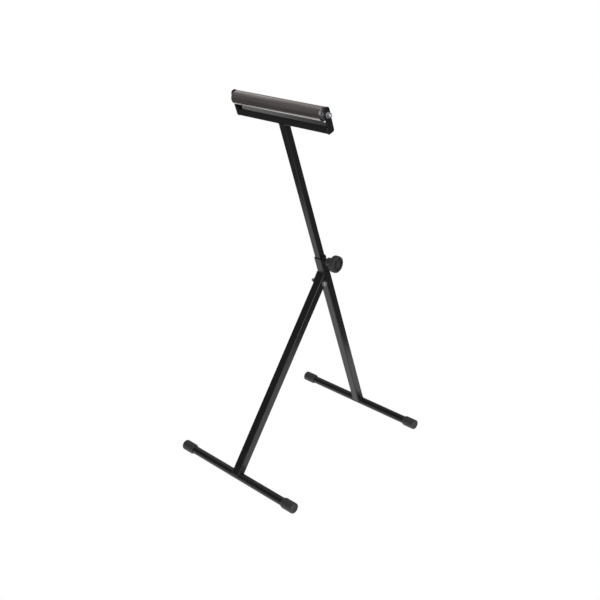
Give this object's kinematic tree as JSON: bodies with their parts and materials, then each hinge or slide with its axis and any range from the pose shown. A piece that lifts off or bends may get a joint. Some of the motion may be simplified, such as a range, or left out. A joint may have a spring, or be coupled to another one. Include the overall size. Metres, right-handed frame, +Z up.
{
  "type": "roller stand",
  "caption": "Folding roller stand: hinged square-tube legs on round cross feet with end caps, and a sliding post, clamped by a knob, that carries a steel roller in an upright bracket.",
  "frame": {"origin": "on the floor, midway between the two feet", "axes": "+X along the feet and the roller, towards the clamp knob; -Y to the front, where the post leans; +Z up"},
  "size_m": [0.483, 0.6124, 1.1119],
  "materials": {
    "black_paint": "satin black powder coat",
    "roller_steel": "bright drawn steel tube, dark and mirror-like",
    "zinc_plate": "bright zinc plated",
    "black_plastic": "moulded black plastic with a fine grain"
  },
  "bodies": {
    "rear_leg": {"outer_tube": "black_paint", "rear_foot_tube": "black_paint", "rear_foot_cap_left": "black_plastic", "rear_foot_cap_right": "black_plastic", "hinge_plate_left": "black_paint", "hinge_plate_right": "black_paint", "pivot_bolt": "zinc_plate", "pivot_washer_head": "zinc_plate", "pivot_washer_nut": "zinc_plate", "pivot_nut": "zinc_plate", "clamp_nut": "black_paint"},
    "front_leg": {"front_leg_tube": "black_paint", "pivot_sleeve": "zinc_plate", "front_foot_tube": "black_paint", "front_foot_cap_left": "black_plastic", "front_foot_cap_right": "black_plastic"},
    "inner_post": {"inner_tube": "black_paint", "post_plug": "black_plastic", "head_bar": "black_paint", "head_plate_left": "black_paint", "head_plate_right": "black_paint", "roller_axle": "zinc_plate", "axle_nut_left": "zinc_plate", "axle_nut_right": "zinc_plate", "axle_washer_left": "zinc_plate", "axle_washer_right": "zinc_plate", "axle_spacer_left": "zinc_plate", "axle_spacer_right": "zinc_plate", "axle_stop_nut_left": "zinc_plate", "axle_stop_nut_right": "zinc_plate", "bearing_inner_ring_left": "zinc_plate", "bearing_inner_ring_right": "zinc_plate"},
    "roller": {"roller_tube": "roller_steel", "roller_end_cup_left": "roller_steel", "roller_end_cup_right": "roller_steel", "bearing_outer_ring_left": "zinc_plate", "bearing_outer_ring_right": "zinc_plate", "bearing_balls_left": "zinc_plate", "bearing_balls_right": "zinc_plate"},
    "clamp_pad": {"clamp_pad": "black_plastic"},
    "clamp_knob": {"clamp_knob": "black_plastic", "clamp_screw": "zinc_plate"}
  },
  "joints": [
    {"name": "front_leg_fold", "type": "hinge", "parent": "rear_leg", "child": "front_leg", "pos_m": [0, 0.0795, 0.52857], "axis": [1, 0, 0], "range_deg": [0, 55]},
    {"name": "post_slide", "type": "slide", "parent": "rear_leg", "child": "inner_post", "axis": [0, -0.3338, 0.9426], "range_m": [-0.43, 0.03]},
    {"name": "roller_spin", "type": "hinge", "parent": "inner_post", "child": "roller", "pos_m": [0, -0.09036, 1.09061], "axis": [1, 0, 0], "continuous": true},
    {"name": "clamp_feed", "type": "slide", "parent": "rear_leg", "child": "clamp_pad", "axis": [1, 0, 0], "range_m": [0, 0.00125]},
    {"name": "knob_turn", "type": "hinge", "parent": "clamp_pad", "child": "clamp_knob", "pos_m": [0, 0.08222, 0.60327], "axis": [1, 0, 0], "range_deg": [0, 360]}
  ],
  "couplings": [
    {"joint": "clamp_feed", "follows": "knob_turn", "m_per_rad": 0.00019894}
  ]
}
